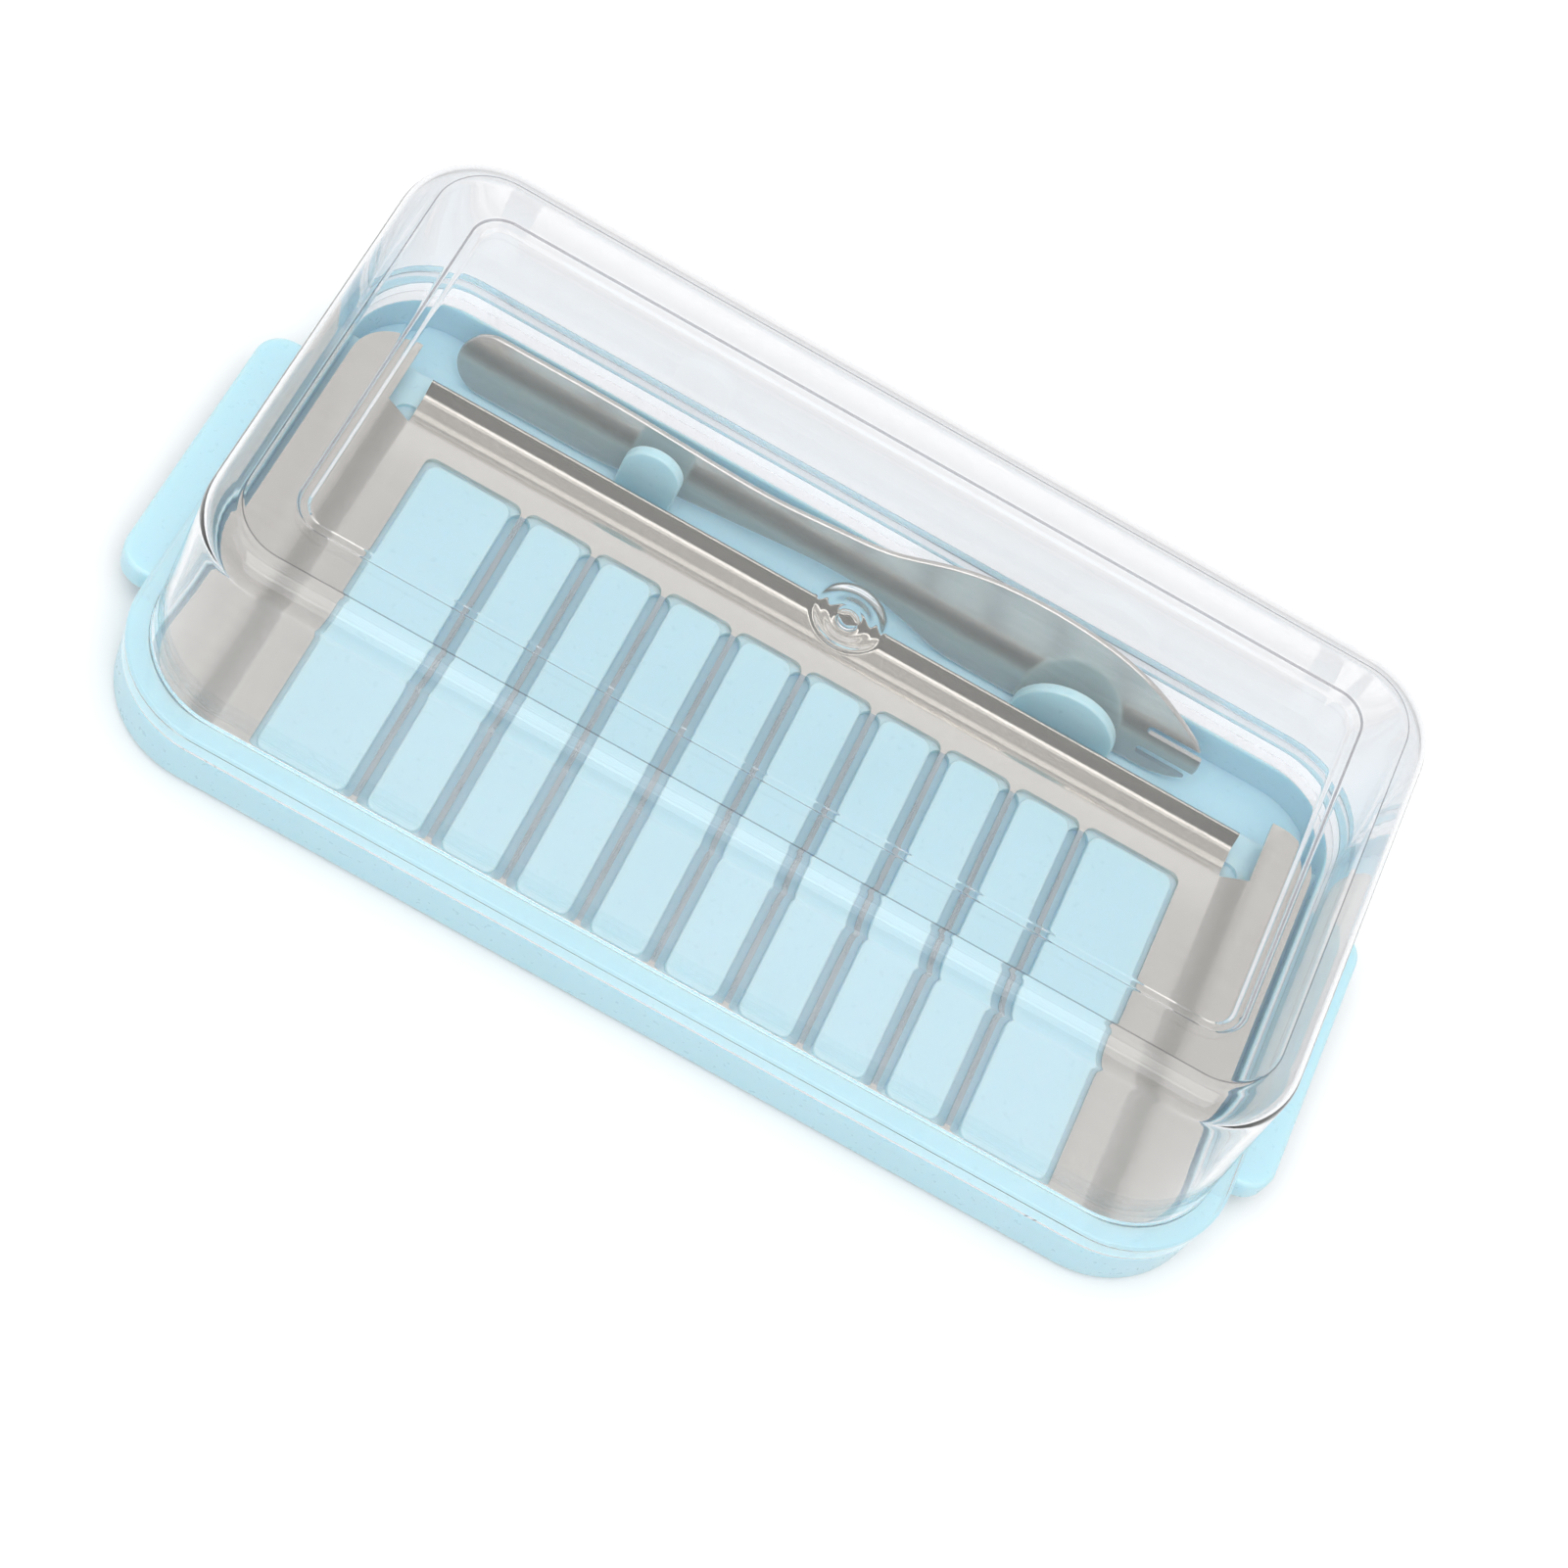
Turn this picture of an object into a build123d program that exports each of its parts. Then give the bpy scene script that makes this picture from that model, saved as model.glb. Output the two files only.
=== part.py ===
"""Butter box with a slicing frame and a butter knife, in millimetres.

The origin is the centre of the foot on the table, +X runs along the box, +Y points to the
knife trough at the back and +Z is up. Four real pieces are modelled: the light-blue tray,
the clear lid, the steel slicing frame with its nine blades, and the steel butter knife.
"""

import os
from math import cos, radians, sin, tan

from build123d import *

# Slice pitch: a 250 g block, about 120 mm long, is cut into ten slices. The two end slices
# of the window are a little wider than the others.
blade_count = 9
blade_pitch = 12.0
end_slice_extra = 4.7
window_depth = 57.6
window_corner_radius = 1.6

# Slicing frame: one steel sheet with a window, a back rail and two raised wings.
sheet = 0.8
blade_width = 0.9
front_rail_width = 1.7
end_rail_width = 5.3
step_run = 4.0
step_rise = 2.8
step_bend_radius = 1.5
step_lap = 2.0
wing_width = 8.7
wing_to_back_rim = 9.8
wing_back_radius = 7.0
blade_root_radius = 1.6

# Back rail: a flat strip, a pressed bead for stiffness, a shelf and a lip that turns up.
back_strip_width = 3.5
bead_width = 2.9
bead_depth = 0.45
bead_shoulder_radius = 2.6
bead_floor_radius = 1.6
shelf_width = 2.3
lip_run = 1.9
lip_rise = 2.3
lip_bend_radius = 1.4
lip_edge_radius = 0.25

# Tray: rim, foot, and the room round the slicing frame.
frame_front_gap = 0.6
frame_end_gap = 1.3
tray_corner_radius = 17.0
tray_height = 10.0
rim_thickness_ends = 4.4
rim_thickness_sides = 4.1
foot_edge_radius = 1.4
rim_edge_radius = 0.5

# Deck that the slicing frame lies on, with a channel for the bead, and the knife trough
# behind it.
deck_height = 7.2
channel_depth = 0.7
channel_side_gap = 0.6
trough_floor_height = 3.3
trough_width = 12.1
lip_to_trough = 2.2

# Two end handles, moulded with the tray.
handle_projection = 6.6
handle_half_width = 24.2
handle_bottom = 3.6
handle_thickness = 4.5
handle_corner_radius = 4.5
handle_edge_radius = 0.7

# Pads between the blades, and the grooves that take the cutting edges.
groove_width = 3.5
groove_depth = 1.0
pad_corner_radius = 2.0
pad_edge_radius = 0.35
pad_window_gap = 0.8

# Two round-topped tabs that keep the knife upright in the trough.
tab_to_back_rim = 10.2
tab_thickness = 1.8
tab_edge_radius = 0.4
tab_root_depth = 0.6
small_tab_centre = -34.6
small_tab_width = 9.6
small_tab_top = 15.4
large_tab_centre = 38.8
large_tab_width = 17.2
large_tab_top = 14.1

# Lid: a flange on the tray rim, a drafted wall and a flat top.
overall_height = 50.0
flange_overhang_sides = 0.8
flange_corner_radius = 17.6
flange_height = 4.0
flange_edge_radius = 0.6
flange_width_ends = 2.9
flange_width_sides = 3.6
lid_corner_radius = 15.5
lid_draft = 3.4
lid_wall = 1.4
lid_top_thickness = 2.2
lid_top_edge_radius = 5.5
panel_margin_ends = 13.1
panel_margin_sides = 12.8
panel_corner_radius = 5.0
panel_depth = 0.7
panel_slope_width = 1.2
gate_diameter = 10.5
gate_depth = 0.9
gate_nub_diameter = 3.0
gate_nub_height = 0.5
gate_bump_height = 0.6

# Butter knife: a flat steel stamping that leans back against the lid side of the trough.
knife_thickness = 1.2
knife_lean = 21.0
knife_gap_to_tabs = 0.5
knife_clearance_below = 0.04
knife_edge_radius = 0.3
handle_end_start = -63.9
handle_end_radius = 5.3
blade_straight_start = 19.0
blade_straight_end = 51.0
slot_width = 1.4
slot_start = 50.5
slot_length = 20.0
slot_heights = (2.8, 6.9)

# The knife's outline on its flat: distance along the box, height above its lower edge.
knife_back = (
    (-45.0, 10.6),
    (-27.0, 9.9),
    (-15.2, 9.8),
    (-5.4, 10.6),
    (3.7, 11.8),
    (10.0, 14.0),
    (17.4, 16.0),
    (25.5, 16.8),
    (35.3, 16.5),
    (41.6, 15.6),
    (49.1, 13.4),
    (56.0, 10.0),
    (60.2, 6.2),
    (60.0, 3.0),
    (56.4, 0.7),
)
knife_neck = (
    (14.1, 0.8),
    (7.5, 2.6),
    (-2.6, 3.8),
    (-15.3, 3.0),
    (-29.5, 1.6),
    (-42.0, 0.3),
)
handle_straight_end = -50.0

os.makedirs("parts", exist_ok=True)

# Sizes along the box that follow from the values above, from the middle outwards.
blade_positions = [(i - (blade_count - 1) / 2) * blade_pitch for i in range(blade_count)]
window_half_length = (blade_count + 1) * blade_pitch / 2 + end_slice_extra
frame_flat_half_length = window_half_length + end_rail_width
step_half_length = frame_flat_half_length + step_run
wing_half_length = step_half_length + wing_width
rim_inner_half_length = wing_half_length + frame_end_gap
tray_half_length = rim_inner_half_length + rim_thickness_ends
handle_reach = tray_half_length + handle_projection
lid_half_length = tray_half_length - flange_width_ends
panel_length = 2 * (lid_half_length - panel_margin_ends)

# Sizes across the box: the frame lies against the front, and the trough takes the back.
back_rail_width = back_strip_width + bead_width + shelf_width + lip_run
frame_depth = front_rail_width + window_depth + back_rail_width
rim_inner_half_width = (frame_front_gap + frame_depth + lip_to_trough + trough_width) / 2
tray_half_width = rim_inner_half_width + rim_thickness_sides
frame_front = frame_front_gap - rim_inner_half_width
window_front = frame_front + front_rail_width
window_back = window_front + window_depth
window_middle = (window_front + window_back) / 2
bead_front = window_back + back_strip_width
bead_back = bead_front + bead_width
lip_front = bead_back + shelf_width
trough_front_edge = rim_inner_half_width - trough_width
tab_front = rim_inner_half_width - tab_to_back_rim
wing_back = rim_inner_half_width - wing_to_back_rim
flange_half_width = tray_half_width + flange_overhang_sides
lid_half_width = flange_half_width - flange_width_sides
panel_width = 2 * (lid_half_width - panel_margin_sides)

# Heights and corners.
deck_top = deck_height + sheet
groove_floor = deck_height - groove_depth
lid_bottom = tray_height
lid_wall_start = lid_bottom + flange_height
inner_corner_radius = tray_corner_radius - rim_thickness_ends

# Base tray: the outer body and the two handles.
with BuildPart() as base_tray:
    with BuildSketch(Plane.XY):
        RectangleRounded(2 * tray_half_length, 2 * tray_half_width, tray_corner_radius)
    extrude(amount=tray_height)
    fillet(base_tray.faces().sort_by(Axis.Z)[0].edges(), radius=foot_edge_radius)
    with BuildSketch(Plane.XY.offset(handle_bottom)):
        RectangleRounded(2 * handle_reach, 2 * handle_half_width, handle_corner_radius)
    extrude(amount=handle_thickness)
    outer_edges = base_tray.edges().filter_by(
        lambda edge: abs(edge.center().X) > tray_half_length
        and handle_bottom - 0.1 < edge.center().Z < handle_bottom + handle_thickness + 0.1
        and abs(edge.tangent_at(0.5).Z) < 0.1
    )
    fillet(outer_edges, radius=handle_edge_radius)
    # The space inside the rim, down to the deck.
    with BuildSketch(Plane.XY.offset(deck_height)):
        RectangleRounded(2 * rim_inner_half_length, 2 * rim_inner_half_width, inner_corner_radius)
    extrude(amount=overall_height, mode=Mode.SUBTRACT)
    rim_edges = base_tray.faces().filter_by(Plane.XY).group_by(Axis.Z)[-1].edges()
    fillet(rim_edges, radius=rim_edge_radius)
    # The knife trough along the back.
    with BuildSketch(Plane.XY.offset(trough_floor_height)):
        RectangleRounded(2 * rim_inner_half_length, 2 * rim_inner_half_width, inner_corner_radius)
        with Locations((0, trough_front_edge - rim_inner_half_width)):
            Rectangle(2 * tray_half_length, 2 * rim_inner_half_width, mode=Mode.SUBTRACT)
    extrude(amount=deck_height - trough_floor_height, mode=Mode.SUBTRACT)
    # A shallow channel in the deck clears the bead under the back rail.
    with BuildSketch(Plane.XY.offset(deck_height - channel_depth)):
        with Locations((0, (bead_front + bead_back) / 2)):
            SlotOverall(
                2 * (frame_flat_half_length + bead_width),
                bead_width + 2 * channel_side_gap,
            )
    extrude(amount=channel_depth, mode=Mode.SUBTRACT)
    # The block under the window, cut by the grooves into ten pads.
    with BuildSketch(Plane.XY.offset(deck_height)):
        pad_left = -window_half_length + pad_window_gap
        pad_depth = window_depth - 2 * pad_window_gap
        pad_starts = [pad_left] + [x + groove_width / 2 for x in blade_positions]
        pad_ends = [x - groove_width / 2 for x in blade_positions] + [-pad_left]
        for pad_start, pad_end in zip(pad_starts, pad_ends):
            with Locations(((pad_start + pad_end) / 2, window_middle)):
                RectangleRounded(pad_end - pad_start, pad_depth, pad_corner_radius)
    extrude(amount=sheet)
    pad_tops = base_tray.faces().filter_by(Plane.XY).filter_by(
        lambda face: abs(face.center().Z - deck_top) < 0.01
    )
    fillet(pad_tops.edges(), radius=pad_edge_radius)
    with BuildSketch(Plane.XY.offset(groove_floor)):
        for x in blade_positions:
            with Locations((x, window_middle)):
                SlotOverall(pad_depth, groove_width, rotation=90)
    extrude(amount=groove_depth, mode=Mode.SUBTRACT)
    # The two tabs stand on the trough floor and lean on nothing else.
    tab_plane = Plane((0, tab_front + tab_thickness, 0), x_dir=(1, 0, 0), z_dir=(0, -1, 0))
    tab_root = trough_floor_height - tab_root_depth
    for tab_centre, tab_width, tab_top in (
        (small_tab_centre, small_tab_width, small_tab_top),
        (large_tab_centre, large_tab_width, large_tab_top),
    ):
        with BuildSketch(tab_plane):
            arc_centre = tab_top - tab_width / 2
            with Locations((tab_centre, arc_centre)):
                Circle(tab_width / 2)
            with Locations((tab_centre, (tab_root + arc_centre) / 2)):
                Rectangle(tab_width, arc_centre - tab_root)
            with Locations((tab_centre, (tab_root + tab_top) / 2)):
                Rectangle(tab_width, tab_top - tab_root, mode=Mode.INTERSECT)
        extrude(amount=tab_thickness)
    tab_edges = base_tray.edges().filter_by(
        lambda edge: edge.center().Z > tray_height + 0.2
        and edge.center().Y > tab_front - 0.1
    )
    fillet(tab_edges, radius=tab_edge_radius)
base_tray.part.label = "base_tray"
export_step(base_tray.part, "parts/base_tray.step")

# Lid: flange, drafted shell, recessed top panel and the round gate mark.
lid_wall_rise = overall_height - lid_wall_start
draft_run = flange_height * tan(radians(lid_draft))
cavity_half_length = lid_half_length - lid_wall + draft_run
cavity_half_width = lid_half_width - lid_wall + draft_run
cavity_corner_radius = lid_corner_radius - lid_wall + draft_run
gate_radius = gate_diameter / 2
gate_sphere_radius = (gate_radius**2 + gate_depth**2) / (2 * gate_depth)
bump_sphere_radius = (gate_radius**2 + gate_bump_height**2) / (2 * gate_bump_height)
panel_floor = overall_height - panel_depth
ceiling_height = overall_height - lid_top_thickness
with BuildPart() as lid:
    with BuildSketch(Plane.XY.offset(lid_bottom)):
        RectangleRounded(2 * tray_half_length, 2 * flange_half_width, flange_corner_radius)
    extrude(amount=flange_height)
    fillet(lid.faces().sort_by(Axis.Z)[-1].edges(), radius=flange_edge_radius)
    with BuildSketch(Plane.XY.offset(lid_wall_start)):
        RectangleRounded(2 * lid_half_length, 2 * lid_half_width, lid_corner_radius)
    extrude(amount=lid_wall_rise, taper=lid_draft)
    fillet(lid.faces().sort_by(Axis.Z)[-1].edges(), radius=lid_top_edge_radius)
    # The inside, open at the bottom.
    with BuildPart(mode=Mode.PRIVATE) as cavity:
        with BuildSketch(Plane.XY.offset(lid_bottom)):
            RectangleRounded(2 * cavity_half_length, 2 * cavity_half_width, cavity_corner_radius)
        extrude(amount=ceiling_height - lid_bottom, taper=lid_draft)
        fillet(
            cavity.faces().sort_by(Axis.Z)[-1].edges(),
            radius=lid_top_edge_radius - lid_wall,
        )
        # The lens-shaped bump of the gate mark hangs from the ceiling.
        with BuildPart(mode=Mode.PRIVATE) as gate_bump:
            with Locations((0, 0, ceiling_height + bump_sphere_radius - gate_bump_height)):
                Sphere(bump_sphere_radius)
        add(gate_bump.part, mode=Mode.SUBTRACT)
    add(cavity.part, mode=Mode.SUBTRACT)
    # The panel is sunk into the top, with a sloping border.
    with BuildSketch(Plane.XY.offset(overall_height)):
        RectangleRounded(panel_length, panel_width, panel_corner_radius)
    with BuildSketch(Plane.XY.offset(panel_floor)):
        RectangleRounded(
            panel_length - 2 * panel_slope_width,
            panel_width - 2 * panel_slope_width,
            panel_corner_radius - panel_slope_width,
        )
    loft(mode=Mode.SUBTRACT)
    # The gate mark is a shallow round dimple above that bump, with a low nub in it.
    with Locations((0, 0, panel_floor - gate_depth + gate_sphere_radius)):
        Sphere(gate_sphere_radius, mode=Mode.SUBTRACT)
    with Locations((0, 0, panel_floor - gate_depth)):
        Cylinder(
            gate_nub_diameter / 2,
            gate_nub_height,
            align=(Align.CENTER, Align.CENTER, Align.CENTER),
        )
lid.part.label = "lid"
export_step(lid.part, "parts/lid.step")

# Slicing frame: the flat sheet with its window.
wing_bottom = deck_height + step_rise
wing_top = wing_bottom + sheet
with BuildPart() as cutter_frame:
    with BuildSketch(Plane.XY.offset(deck_height)):
        with Locations((0, (frame_front + bead_front) / 2)):
            Rectangle(2 * frame_flat_half_length, bead_front - frame_front)
        with Locations((0, window_middle)):
            Rectangle(2 * window_half_length, window_depth, mode=Mode.SUBTRACT)
        # The ends of each blade spread out into the rails.
        for x in blade_positions:
            for rail, inward in ((window_front, 1), (window_back, -1)):
                with Locations((x, rail + inward * blade_root_radius / 2)):
                    Rectangle(2 * blade_root_radius + blade_width, blade_root_radius)
                for side in (-1, 1):
                    corner_x = x + side * (blade_root_radius + blade_width / 2)
                    with Locations((corner_x, rail + inward * blade_root_radius)):
                        Circle(blade_root_radius, mode=Mode.SUBTRACT)
    extrude(amount=sheet)
    corner_edges = cutter_frame.edges().filter_by(Axis.Z).filter_by(
        lambda edge: abs(abs(edge.center().X) - window_half_length) < 0.01
    )
    fillet(corner_edges, radius=window_corner_radius)
    # The back rail is the same sheet, bent into the bead, the shelf and the lip.
    rail_plane = Plane((-frame_flat_half_length, 0, 0), x_dir=(0, 1, 0), z_dir=(1, 0, 0))
    with BuildSketch(rail_plane):
        with BuildLine():
            FilletPolyline(
                (bead_front - step_lap, deck_top),
                (bead_front, deck_top),
                (bead_front + bead_width / 2, deck_top - bead_depth),
                (bead_back, deck_top),
                (lip_front, deck_top),
                (lip_front + lip_run, deck_top + lip_rise),
                radius=[
                    bead_shoulder_radius,
                    bead_floor_radius,
                    bead_shoulder_radius,
                    lip_bend_radius,
                ],
            )
            offset(amount=sheet, side=Side.RIGHT)
        make_face()
    extrude(amount=2 * frame_flat_half_length)
    lip_edges = cutter_frame.edges().filter_by(Axis.X).sort_by(Axis.Z)[-2:]
    fillet(lip_edges, radius=lip_edge_radius)
    # At each end the sheet steps up into a wing that the fingers lift.
    for side in (-1, 1):
        step_plane = Plane((0, bead_front, 0), x_dir=(1, 0, 0), z_dir=(0, -1, 0))
        with BuildSketch(step_plane) as step_profile:
            with BuildLine():
                Polyline(
                    (side * (frame_flat_half_length - step_lap), deck_height),
                    (side * frame_flat_half_length, deck_height),
                    (side * step_half_length, wing_bottom),
                    (side * (step_half_length + step_lap), wing_bottom),
                    (side * (step_half_length + step_lap), wing_top),
                    (side * step_half_length, wing_top),
                    (side * frame_flat_half_length, deck_top),
                    (side * (frame_flat_half_length - step_lap), deck_top),
                    close=True,
                )
            make_face()
            bend_corners = step_profile.vertices().sort_by(Axis.X)[2:-2]
            fillet(bend_corners, radius=step_bend_radius)
        extrude(amount=bead_front - frame_front)
        with BuildSketch(Plane.XY.offset(wing_bottom)):
            with Locations(
                (side * (step_half_length + wing_width / 2), (frame_front + wing_back) / 2)
            ):
                Rectangle(wing_width, wing_back - frame_front)
        extrude(amount=sheet)
    # The front corners of the wings follow the round corners of the tray.
    with BuildSketch(Plane.XY) as plan_outline:
        with Locations((0, (frame_front + wing_back) / 2)):
            Rectangle(2 * wing_half_length, wing_back - frame_front)
        fillet(plan_outline.vertices().group_by(Axis.Y)[0], radius=inner_corner_radius)
        fillet(plan_outline.vertices().group_by(Axis.Y)[-1], radius=wing_back_radius)
    extrude(amount=overall_height, mode=Mode.INTERSECT)
cutter_frame.part.label = "cutter_frame"
export_step(cutter_frame.part, "parts/cutter_frame.step")

# Nine straight blades, each a narrow strip of the same sheet.
blade_start = window_front + blade_root_radius
blade_end = window_back - blade_root_radius
for number, x in enumerate(blade_positions, start=1):
    with BuildPart() as blade:
        with BuildSketch(Plane.XY.offset(deck_height)):
            with Locations((x, (blade_start + blade_end) / 2)):
                Rectangle(blade_width, blade_end - blade_start)
        extrude(amount=sheet)
    blade.part.label = f"blade_{number}"
    export_step(blade.part, f"parts/blade_{number}.step")

# Butter knife, drawn flat and stood on its lower edge behind the tabs.
knife_front = tab_front + tab_thickness + knife_gap_to_tabs
knife_foot = (
    trough_floor_height + knife_clearance_below + knife_thickness * sin(radians(knife_lean))
)
knife_plane = Plane(
    (0, knife_front, knife_foot),
    x_dir=(1, 0, 0),
    z_dir=(0, -cos(radians(knife_lean)), sin(radians(knife_lean))),
)
handle_top = 2 * handle_end_radius
with BuildPart() as butter_knife:
    with BuildSketch(knife_plane):
        with BuildLine():
            Spline(
                (handle_end_start, handle_top),
                *knife_back,
                (blade_straight_end, 0.0),
                tangents=((1, 0), (-1, 0)),
            )
            Line((blade_straight_end, 0.0), (blade_straight_start, 0.0))
            Spline(
                (blade_straight_start, 0.0),
                *knife_neck,
                (handle_straight_end, 0.0),
                tangents=((-1, 0), (-1, 0)),
            )
            Line((handle_straight_end, 0.0), (handle_end_start, 0.0))
            ThreePointArc(
                (handle_end_start, 0.0),
                (handle_end_start - handle_end_radius, handle_end_radius),
                (handle_end_start, handle_top),
            )
        make_face()
    extrude(amount=-knife_thickness)
    knife_faces = butter_knife.faces().sort_by(SortBy.AREA)[-2:]
    fillet(knife_faces.edges(), radius=knife_edge_radius)
    # Two narrow slots run in from the tip.
    with BuildSketch(knife_plane):
        for slot_height in slot_heights:
            with Locations((slot_start + slot_length / 2, slot_height)):
                SlotOverall(slot_length, slot_width)
    extrude(amount=-knife_thickness, mode=Mode.SUBTRACT)
butter_knife.part.label = "butter_knife"
export_step(butter_knife.part, "parts/butter_knife.step")
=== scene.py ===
import math
import bmesh
import bpy
from mathutils import Matrix, Vector


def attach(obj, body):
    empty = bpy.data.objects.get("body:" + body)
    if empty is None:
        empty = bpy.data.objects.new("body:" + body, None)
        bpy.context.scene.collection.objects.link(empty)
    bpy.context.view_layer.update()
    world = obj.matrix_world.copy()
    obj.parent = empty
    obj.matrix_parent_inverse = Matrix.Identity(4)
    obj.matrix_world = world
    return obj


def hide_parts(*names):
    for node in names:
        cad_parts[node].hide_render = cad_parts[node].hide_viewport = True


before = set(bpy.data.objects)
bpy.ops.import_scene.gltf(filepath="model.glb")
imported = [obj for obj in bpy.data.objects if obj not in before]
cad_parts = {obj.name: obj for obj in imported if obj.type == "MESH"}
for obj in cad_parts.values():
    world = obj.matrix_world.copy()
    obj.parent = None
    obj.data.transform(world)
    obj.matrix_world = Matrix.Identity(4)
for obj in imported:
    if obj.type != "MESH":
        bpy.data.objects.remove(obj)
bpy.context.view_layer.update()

# Base tray: one light-blue moulding in glossy plastic with a foot, a rim, two end handles,
# ten pads that carry the butter, a trough for the knife and two round-topped tabs. It
# stands loose on the table.
def new_material(name):
    material = bpy.data.materials.new(name)
    material.use_nodes = True
    nodes, links = material.node_tree.nodes, material.node_tree.links
    nodes.clear()
    output = nodes.new("ShaderNodeOutputMaterial")
    shader = nodes.new("ShaderNodeBsdfPrincipled")
    links.new(shader.outputs["BSDF"], output.inputs["Surface"])
    return material, nodes, links, shader


def object_noise(nodes, links, scale, detail=2.0, stretch=(1.0, 1.0, 1.0)):
    place = nodes.new("ShaderNodeTexCoord")
    mapping = nodes.new("ShaderNodeMapping")
    mapping.inputs["Scale"].default_value = stretch
    noise = nodes.new("ShaderNodeTexNoise")
    noise.inputs["Scale"].default_value = scale
    noise.inputs["Detail"].default_value = detail
    links.new(place.outputs["Object"], mapping.inputs["Vector"])
    links.new(mapping.outputs["Vector"], noise.inputs["Vector"])
    return noise


def colour_between(nodes, links, factor, first, second, low=0.35, high=0.65):
    ramp = nodes.new("ShaderNodeValToRGB")
    ramp.color_ramp.elements[0].position = low
    ramp.color_ramp.elements[0].color = (*first, 1.0)
    ramp.color_ramp.elements[1].position = high
    ramp.color_ramp.elements[1].color = (*second, 1.0)
    links.new(factor, ramp.inputs["Fac"])
    return ramp.outputs["Color"]


def value_between(nodes, links, factor, low, high):
    spread = nodes.new("ShaderNodeMapRange")
    spread.inputs["To Min"].default_value = low
    spread.inputs["To Max"].default_value = high
    links.new(factor, spread.inputs["Value"])
    return spread.outputs["Result"]


def bump_from(nodes, links, height, distance, strength):
    bump = nodes.new("ShaderNodeBump")
    bump.inputs["Distance"].default_value = distance
    bump.inputs["Strength"].default_value = strength
    links.new(height, bump.inputs["Height"])
    return bump.outputs["Normal"]


def wear(node, material):
    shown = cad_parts[node]
    shown.data.materials.clear()
    shown.data.materials.append(material)


blue_plastic, nodes, links, shader = new_material("light blue moulded plastic")
clouds = object_noise(nodes, links, scale=45.0, detail=3.0)
deeper_blue, paler_blue = (0.462, 0.680, 0.750), (0.480, 0.696, 0.768)
blue = colour_between(nodes, links, clouds.outputs["Fac"], deeper_blue, paler_blue)
links.new(blue, shader.inputs["Base Color"])
mould_marks = object_noise(nodes, links, scale=900.0)
roughness = value_between(nodes, links, mould_marks.outputs["Fac"], low=0.24, high=0.34)
links.new(roughness, shader.inputs["Roughness"])
orange_peel = object_noise(nodes, links, scale=260.0)
waves = bump_from(nodes, links, orange_peel.outputs["Fac"], distance=0.00004, strength=0.35)
links.new(waves, shader.inputs["Normal"])
plastic_index = 1.49
shader.inputs["IOR"].default_value = plastic_index
shader.inputs["Subsurface Weight"].default_value = 0.70
shader.inputs["Subsurface Radius"].default_value = (0.5, 0.8, 1.0)
shader.inputs["Subsurface Scale"].default_value = 0.005
wear("base_tray", blue_plastic)

# Slicing frame: one stamping in polished stainless sheet with a window, nine cross blades,
# a turned-up back edge and two raised wings. It lies loose on the tray.
def tinted(nodes, links, colour, factor, tint):
    tinting = nodes.new("ShaderNodeMix")
    tinting.data_type = "RGBA"
    tinting.blend_type = "MULTIPLY"
    tinting.inputs["B"].default_value = (*tint, 1.0)
    links.new(factor, tinting.inputs["Factor"])
    links.new(colour, tinting.inputs["A"])
    return tinting.outputs["Result"]


def calculated(nodes, links, operation, value, other=None):
    """Adds one Math node. The other value is a socket, a number or nothing."""
    step = nodes.new("ShaderNodeMath")
    step.operation = operation
    links.new(value, step.inputs[0])
    if isinstance(other, bpy.types.NodeSocket):
        links.new(other, step.inputs[1])
    elif other is not None:
        step.inputs[1].default_value = other
    return step.outputs["Value"]


polished_steel, nodes, links, shader = new_material("polished stainless sheet")
rolling = object_noise(nodes, links, scale=60.0, detail=4.0, stretch=(1.0, 14.0, 14.0))
darker_steel, lighter_steel = (0.640, 0.616, 0.574), (0.656, 0.632, 0.590)
sheet_colour = colour_between(nodes, links, rolling.outputs["Fac"], darker_steel, lighter_steel)
roughness = value_between(nodes, links, rolling.outputs["Fac"], low=0.17, high=0.19)
links.new(roughness, shader.inputs["Roughness"])
# Painted shade: between its two ends, the pressed rail at the back gets a darker colour than the flat sheet,
# standing in for its darker reflections.
rail_start, rail_full, rail_end = 0.0218, 0.0226, 0.0702
rail_painted_shade = (0.64, 0.63, 0.61)
place = nodes.new("ShaderNodeTexCoord")
axes = nodes.new("ShaderNodeSeparateXYZ")
links.new(place.outputs["Object"], axes.inputs["Vector"])
behind = nodes.new("ShaderNodeMapRange")
behind.inputs["From Min"].default_value = rail_start
behind.inputs["From Max"].default_value = rail_full
links.new(axes.outputs["Y"], behind.inputs["Value"])
from_middle = calculated(nodes, links, "ABSOLUTE", axes.outputs["X"])
between_ends = calculated(nodes, links, "LESS_THAN", from_middle, rail_end)
painted_rail_shade_mask = calculated(nodes, links, "MULTIPLY", behind.outputs["Result"], between_ends)
colour_with_painted_rail_shade = tinted(nodes, links, sheet_colour, painted_rail_shade_mask, rail_painted_shade)
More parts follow.
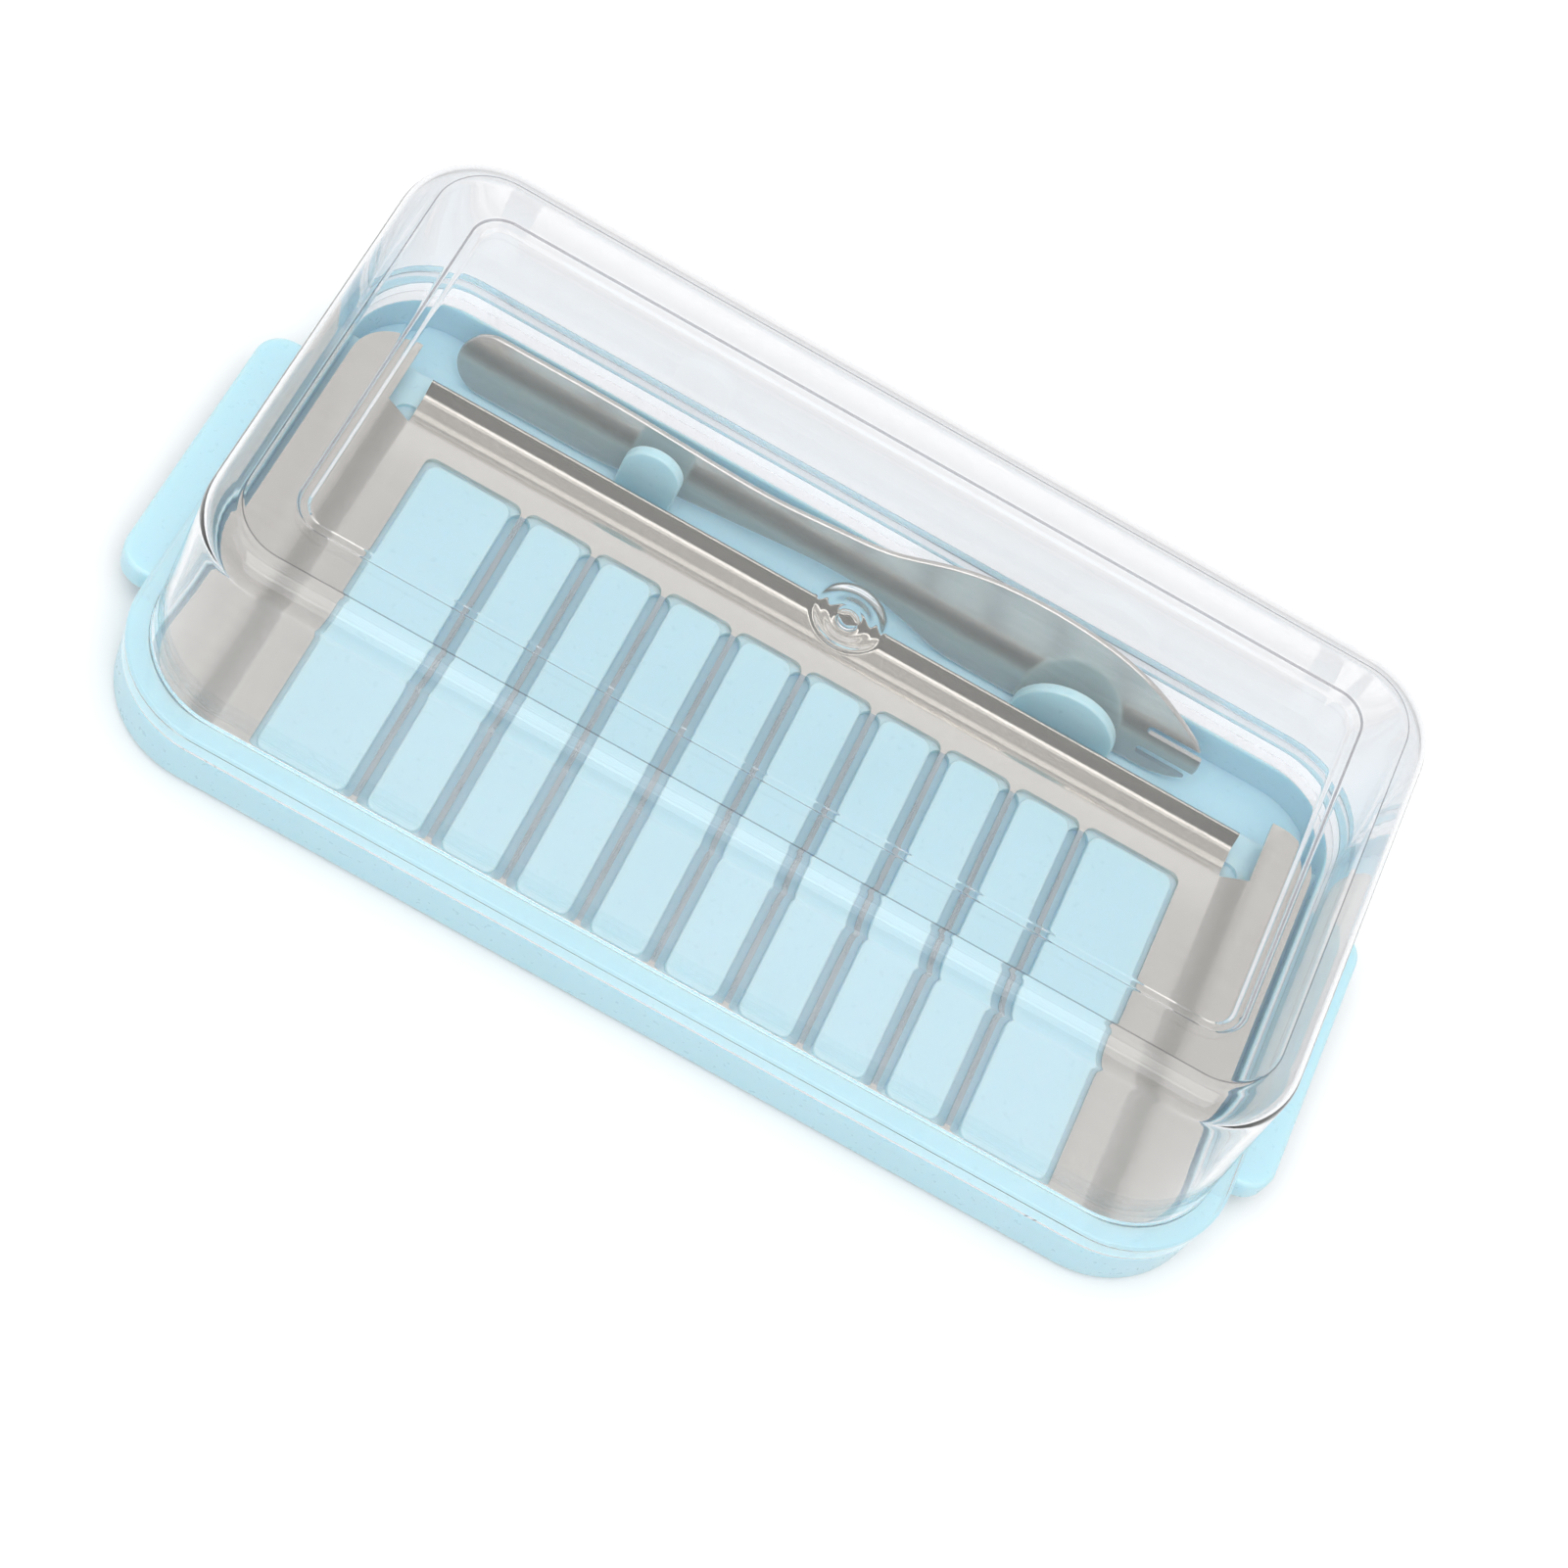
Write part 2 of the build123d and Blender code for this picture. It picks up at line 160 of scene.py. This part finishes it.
# Painted shade: the two slopes that lead up to the wings are darkened along their middle, a painted dark
# reflection band.
slope_middle, slope_half = 0.0728, 0.0034
slope_painted_shade = (0.77, 0.77, 0.76)
past_slope = calculated(nodes, links, "SUBTRACT", from_middle, slope_middle)
off_slope = calculated(nodes, links, "ABSOLUTE", past_slope)
painted_slope_shade_mask = nodes.new("ShaderNodeMapRange")
painted_slope_shade_mask.interpolation_type = "SMOOTHSTEP"
painted_slope_shade_mask.inputs["From Max"].default_value = slope_half
painted_slope_shade_mask.inputs["To Min"].default_value = 1.0
painted_slope_shade_mask.inputs["To Max"].default_value = 0.0
links.new(off_slope, painted_slope_shade_mask.inputs["Value"])
steel_colour_with_painted_shade = tinted(nodes, links, colour_with_painted_rail_shade, painted_slope_shade_mask.outputs["Result"], slope_painted_shade)
links.new(steel_colour_with_painted_shade, shader.inputs["Base Color"])
shader.inputs["Metallic"].default_value = 1.0
wear("cutter_frame", polished_steel)

# Blades: the nine straight strips of the same stamping. Their steel is given a darker, greyer colour than
# the sheet around them.
darker_blade_steel, nodes, links, shader = new_material("darker stainless strip")
strokes = object_noise(nodes, links, scale=90.0, detail=4.0, stretch=(14.0, 1.0, 14.0))
darker_grey, lighter_grey = (0.340, 0.400, 0.425), (0.410, 0.470, 0.495)
blade_grey = colour_between(nodes, links, strokes.outputs["Fac"], darker_grey, lighter_grey)
links.new(blade_grey, shader.inputs["Base Color"])
roughness = value_between(nodes, links, strokes.outputs["Fac"], low=0.22, high=0.34)
links.new(roughness, shader.inputs["Roughness"])
shader.inputs["Metallic"].default_value = 1.0
blade_count = 9
for number in range(1, blade_count + 1):
    wear(f"blade_{number}", darker_blade_steel)

# Butter knife: a flat stamping in polished stainless steel with a rounded handle end, a
# broad blade and two slots at its tip. It stands on its edge in the trough.
knife_steel, nodes, links, shader = new_material("polished knife steel")
grinding = object_noise(nodes, links, scale=80.0, detail=4.0, stretch=(1.0, 10.0, 10.0))
darker_shine, lighter_shine = (0.600, 0.580, 0.550), (0.660, 0.640, 0.610)
knife_shine = colour_between(nodes, links, grinding.outputs["Fac"], darker_shine, lighter_shine)
links.new(knife_shine, shader.inputs["Base Color"])
roughness = value_between(nodes, links, grinding.outputs["Fac"], low=0.17, high=0.21)
links.new(roughness, shader.inputs["Roughness"])
shader.inputs["Metallic"].default_value = 0.80
wear("butter_knife", knife_steel)

# Lid: one clear moulding with a flange that rests on the tray's rim, drafted walls, a
# panel sunk into its top and the round mark of the moulding gate at its centre.
# Each outline is half its length, half its depth and its corner radius.
corner_steps = 14
flange_half = (0.0884, 0.0473, 0.0176)
wall_half = (0.0855, 0.0437, 0.0155)
panel_half = (0.0724, 0.0309, 0.0050)
lid_base, flange_top, lid_top = 0.01001, 0.014, 0.050
lid_wall, ceiling = 0.0014, 0.0478
top_edge_radius = 0.0055
draft_angle, crease_angle = math.radians(3.4), math.radians(14)
draft = math.tan(draft_angle)
arc_height = lid_top - top_edge_radius
arc_inward = (arc_height - flange_top) * draft + top_edge_radius / math.cos(draft_angle)
crease_run = (1 - math.cos(crease_angle)) / math.tan(crease_angle)
beside_edge = 0.0003


def rounded_outline(bm, half_x, half_y, radius, z):
    corners = [
        bm.verts.new((x, y, z))
        for x, y in ((-half_x, -half_y), (half_x, -half_y), (half_x, half_y), (-half_x, half_y))
    ]
    bm.faces.new(corners)
    bmesh.ops.bevel(
        bm,
        geom=corners,
        offset=radius,
        offset_type="OFFSET",
        segments=corner_steps,
        profile=0.5,
        affect="VERTICES",
        material=-1,
    )
    return list(bm.edges)


def wall_on(bm, edges, before, after, slot=0):
    """Extrudes an outline from one rounded rectangle or circle to the next one."""
    made = bmesh.ops.extrude_edge_only(bm, edges=edges)["geom"]
    for face in (item for item in made if isinstance(item, bmesh.types.BMFace)):
        face.material_index = slot
    for vert in (item for item in made if isinstance(item, bmesh.types.BMVert)):
        side_x, side_y = math.copysign(1, vert.co.x), math.copysign(1, vert.co.y)
        corner = Vector((side_x * (before[0] - before[2]), side_y * (before[1] - before[2]), before[3]))
        outward = (vert.co - corner) / before[2]
        corner = Vector((side_x * (after[0] - after[2]), side_y * (after[1] - after[2]), after[3]))
        vert.co = corner + after[2] * outward
    return [item for item in made if isinstance(item, bmesh.types.BMEdge)]


def round_loop(radius, z):
    return (radius, radius, radius, z)


def offset_loop(half, inward, z):
    return (half[0] - inward, half[1] - inward, half[2] - inward, z)


def drafted_loops(thickness, heights):
    return [offset_loop(wall_half, thickness + (height - flange_top) * draft, height) for height in heights]


def rounded_edge(radius, rise, steps):
    """Goes up a wall's rounded top edge, which ends at the crease, short of level."""
    loops = []
    for step in range(steps + 1):
        angle = draft_angle + (math.pi / 2 - crease_angle - draft_angle) * step / steps
        inward = arc_inward - radius * math.cos(angle)
        loops.append(offset_loop(wall_half, inward, arc_height + rise * math.sin(angle)))
    return loops


def end_of_slope(radius, rise):
    """How far inward the slope past the crease comes level."""
    return arc_inward - radius * math.sin(crease_angle) + rise * crease_run


# The rings go from the edge of the ceiling down the inside, round the flange, up the outside and in over the
# top. A face that ends on a line ring gets a grey tint: a painted dark line that stands in for the edge's
# reflection.
inner_radius, inner_rise = top_edge_radius - lid_wall, ceiling - arc_height
inward = end_of_slope(inner_radius, inner_rise)
rings = [offset_loop(wall_half, inward + beside_edge, ceiling), offset_loop(wall_half, inward, ceiling)]
rings += reversed(rounded_edge(inner_radius, inner_rise, steps=9))
rings += drafted_loops(lid_wall, (0.036, 0.028, 0.020, 0.014, 0.0104, lid_base))
flange_edge, flange_corner, wall_foot = 0.0003, 0.0006, 0.0005
for inward, rise in ((1, 0), (1 / 3, 1 / 3), (0, 1)):
    rings.append(offset_loop(flange_half, flange_edge * inward, lid_base + flange_edge * rise))
corner_arc_steps, foot_arc_steps = 5, 4
for step in range(corner_arc_steps + 1):
    angle = math.pi / 2 * step / corner_arc_steps
    inward = flange_corner * (1 - math.cos(angle))
    rings.append(offset_loop(flange_half, inward, flange_top - flange_corner * (1 - math.sin(angle))))
for step in range(foot_arc_steps + 1):
    angle = math.pi / 2 * step / foot_arc_steps
    outward = wall_foot * (1 - math.sin(angle))
    rings.append(offset_loop(wall_half, -outward, flange_top + wall_foot * (1 - math.cos(angle))))
rings += drafted_loops(0, (0.0150, 0.020, 0.028, 0.036, 0.0435))
rings += rounded_edge(top_edge_radius, top_edge_radius, steps=10)
inward = end_of_slope(top_edge_radius, top_edge_radius)
crease_half = 0.00015
rings.append(offset_loop(wall_half, inward - crease_half, lid_top - crease_half * math.tan(crease_angle)))
painted_line_rings = {len(rings)}
rings.append(offset_loop(wall_half, inward + crease_half / 3, lid_top))
rings.append(offset_loop(wall_half, inward + beside_edge, lid_top))
# The panel's border: two short slopes with a tight edge above and below each, and a nearly
# level step between them. Each pair is how far inward and how far below the lid's top.
border = (
    (-0.00030, 0.00000),
    (-0.00006, 0.00001),
    (0.00004, 0.00004),
    (0.00036, 0.00028),
    (0.00044, 0.00032),
    (0.00060, 0.00034),
    (0.00130, 0.00037),
    (0.00146, 0.00039),
    (0.00154, 0.00043),
    (0.00186, 0.00066),
    (0.00194, 0.00069),
    (0.00210, 0.00070),
    (0.00240, 0.00070),
)
upper_slope_end = 3
painted_line_rings.add(len(rings) + upper_slope_end)
rings += [offset_loop(panel_half, inward, lid_top - sunk) for inward, sunk in border]
# The gate mark: a shallow dimple on top with faint flow rings and a low nub in it, and a
# lens-shaped bump below it.
gate_radius, gate_depth = 0.00525, 0.0009
flow_steps, flow_step, flow_height, flow_waves = 20, 0.034, 0.00002, 20
panel_floor = lid_top - border[-1][1]
rings.append(round_loop(gate_radius + 0.0004, panel_floor))
for step in range(flow_steps):
    share = 1 - step * flow_step
    flow_ring = flow_height * math.sin(share * flow_waves)
    rings.append(round_loop(gate_radius * share, panel_floor - gate_depth * (1 - share**2) + flow_ring))
nub_radius, nub_edge, nub_top = 0.0015, 0.0001, panel_floor - gate_depth + 0.00025
rings.append(round_loop(nub_radius + nub_edge, panel_floor - gate_depth * 0.9))
rings.append(round_loop(nub_radius, nub_top - nub_edge * 0.4))
rings.append(round_loop(nub_radius - nub_edge, nub_top))
rings.append(round_loop(nub_radius / 2, nub_top))
bump_depth, bump_steps, bump_margin = 0.0006, 8, 0.0006
bump = [round_loop(gate_radius + bump_margin, ceiling)]
for step in range(bump_steps):
    share = 1 - step / bump_steps
    bump.append(round_loop(gate_radius * share, ceiling - bump_depth * (1 - share**2)))
bm = bmesh.new()
edges = first_edges = rounded_outline(bm, *rings[0])
bmesh.ops.delete(bm, geom=list(bm.faces), context="FACES_ONLY")
for number, (before, after) in enumerate(zip(rings, rings[1:]), 1):
    edges = wall_on(bm, edges, before, after, int(number in painted_line_rings))
bmesh.ops.contextual_create(bm, geom=edges)
# The lower face touches the rim at the front and stands a hair above it at the back.
seat_slope, seat_line = 0.001, -0.02
for vert in bm.verts:
    if vert.co.z < lid_base + 0.00001:
        vert.co.z += (vert.co.y - seat_line) * seat_slope
edges = first_edges
for before, after in zip([rings[0]] + bump, bump):
    edges = wall_on(bm, edges, before, after)
bmesh.ops.contextual_create(bm, geom=edges)
bmesh.ops.remove_doubles(bm, verts=bm.verts, dist=1e-6)
bmesh.ops.recalc_face_normals(bm, faces=bm.faces)
for face in bm.faces:
    face.smooth = True
lid_mesh = bpy.data.meshes.new("clear_lid")
bm.to_mesh(lid_mesh)
bm.free()
clear_lid = bpy.data.objects.new("clear_lid", lid_mesh)
bpy.context.scene.collection.objects.link(clear_lid)
even_out = clear_lid.modifiers.new("even shading", "WEIGHTED_NORMAL")
even_out.keep_sharp = True


def clear_material(name, tint):
    material, nodes, links, shader = new_material(name)
    shader.inputs["Base Color"].default_value = (*tint, 1.0)
    shader.inputs["Transmission Weight"].default_value = 1.0
    shader.inputs["IOR"].default_value = plastic_index
    rubbing = object_noise(nodes, links, scale=120.0, detail=3.0)
    roughness = value_between(nodes, links, rubbing.outputs["Fac"], low=0.0, high=0.004)
    links.new(roughness, shader.inputs["Roughness"])
    flow = object_noise(nodes, links, scale=35.0, detail=1.0)
    waves = bump_from(nodes, links, flow.outputs["Fac"], distance=0.00005, strength=0.1)
    links.new(waves, shader.inputs["Normal"])
    # Light that goes to the tray and the steel passes straight through the lid.
    see_through = nodes.new("ShaderNodeBsdfTransparent")
    see_through.inputs["Color"].default_value = (0.99, 0.99, 0.99, 1.0)
    ray_kind = nodes.new("ShaderNodeLightPath")
    shadow, diffuse = ray_kind.outputs["Is Shadow Ray"], ray_kind.outputs["Is Diffuse Ray"]
    let_light_in = nodes.new("ShaderNodeMixShader")
    links.new(calculated(nodes, links, "MAXIMUM", shadow, diffuse), let_light_in.inputs["Fac"])
    links.new(shader.outputs["BSDF"], let_light_in.inputs[1])
    links.new(see_through.outputs["BSDF"], let_light_in.inputs[2])
    links.new(let_light_in.outputs["Shader"], nodes["Material Output"].inputs["Surface"])
    return material


lid_mesh.materials.append(clear_material("clear moulded plastic", (0.915, 0.918, 0.930)))
# The second material is a painted dark line along the edges, not a tint the plastic has.
lid_mesh.materials.append(clear_material("clear plastic with a painted dark line", (0.26, 0.26, 0.28)))
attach(clear_lid, "cover")
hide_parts("lid")

# Table: a plain white sheet that the box stands on. It reaches far past the view on
# every side, so no edge of it shows.
table_half = 6.0
bm = bmesh.new()
bmesh.ops.create_grid(bm, x_segments=1, y_segments=1, size=table_half)
table_mesh = bpy.data.meshes.new("table_top")
bm.to_mesh(table_mesh)
bm.free()
table_top = bpy.data.objects.new("table_top", table_mesh)
bpy.context.scene.collection.objects.link(table_top)
white_sheet, nodes, links, shader = new_material("white table sheet")
paper = object_noise(nodes, links, scale=3.0)
duller_white, brighter_white = (0.87, 0.87, 0.87), (0.88, 0.88, 0.88)
sheet_white = colour_between(nodes, links, paper.outputs["Fac"], duller_white, brighter_white)
links.new(sheet_white, shader.inputs["Base Color"])
shader.inputs["Roughness"].default_value = 0.9
table_mesh.materials.append(white_sheet)

# Studio: a room that is white overhead, paler behind than in front, dim low down at the
# sides and the front, and pale again along the front horizon. Two soft lamps light the box.
world = bpy.data.worlds.new("pale studio")
bpy.context.scene.world = world
world.use_nodes = True
nodes, links = world.node_tree.nodes, world.node_tree.links
nodes.clear()
sky = nodes.new("ShaderNodeBackground")
sky.inputs["Strength"].default_value = 1.0
room = nodes.new("ShaderNodeOutputWorld")
links.new(sky.outputs["Background"], room.inputs["Surface"])
# A direction's value is 0 where it is level to the front, level_value where it is level to
# a side, and 1 where it is straight up.
level_value = 0.375
place = nodes.new("ShaderNodeTexCoord")
height_and_back = nodes.new("ShaderNodeVectorMath")
height_and_back.operation = "DOT_PRODUCT"
height_and_back.inputs[1].default_value = (0.0, level_value, 1.0 - level_value)
links.new(place.outputs["Generated"], height_and_back.inputs[0])
from_front = calculated(nodes, links, "ADD", height_and_back.outputs["Value"], level_value)
pale, dim, white = (0.85, 0.86, 0.88), (0.33, 0.34, 0.35), (1.0, 1.0, 1.0)
room_colour = colour_between(nodes, links, from_front, pale, white, low=0.0, high=1.0)
for position, colour in ((0.19, pale), (0.25, dim), (level_value, dim)):
    room_colour.node.color_ramp.elements.new(position).color = (*colour, 1.0)
links.new(room_colour, sky.inputs["Color"])


def soft_lamp(name, place, aim, size, power):
    lamp = bpy.data.lights.new(name, "AREA")
    lamp.shape = "RECTANGLE"
    lamp.size, lamp.size_y = size
    lamp.energy = power
    holder = bpy.data.objects.new(name, lamp)
    bpy.context.scene.collection.objects.link(holder)
    direction = Vector(aim) - Vector(place)
    holder.matrix_world = Matrix.Translation(place) @ direction.to_track_quat("-Z", "Y").to_matrix().to_4x4()


foot_middle = (0, 0, 0)
soft_lamp("overhead strip", (0, -0.03, 1.2), foot_middle, size=(1.6, 0.60), power=3.2)
soft_lamp("front soft box", (0, -0.72, 1.05), foot_middle, size=(1.4, 0.70), power=7.4)

# Camera: above the front edge, turned clockwise as the photograph is, with a long lens. The
# photograph's width and the focal length are given in its pixels.
camera_place = (-0.02045, -0.28429, 0.44389)
azimuth, elevation, roll = math.radians(5.155), math.radians(57.0), math.radians(33.514)
photo_width, focal_length = 1601, 3606.03
forward = Vector((
    math.sin(azimuth) * math.cos(elevation),
    math.cos(azimuth) * math.cos(elevation),
    -math.sin(elevation),
))
level = Vector((math.cos(azimuth), -math.sin(azimuth), 0.0))
upright = level.cross(forward)
camera_right = math.cos(roll) * level + math.sin(roll) * upright
camera_up = -math.sin(roll) * level + math.cos(roll) * upright
view = bpy.data.cameras.new("camera")
view.sensor_width = 36.0
view.lens = focal_length / photo_width * view.sensor_width
camera = bpy.data.objects.new("camera", view)
bpy.context.scene.collection.objects.link(camera)
camera.matrix_world = Matrix.Translation(camera_place) @ Matrix(
    (camera_right, camera_up, -forward)
).transposed().to_4x4()
bpy.context.scene.camera = camera
bpy.context.scene.view_settings.view_transform = "Standard"
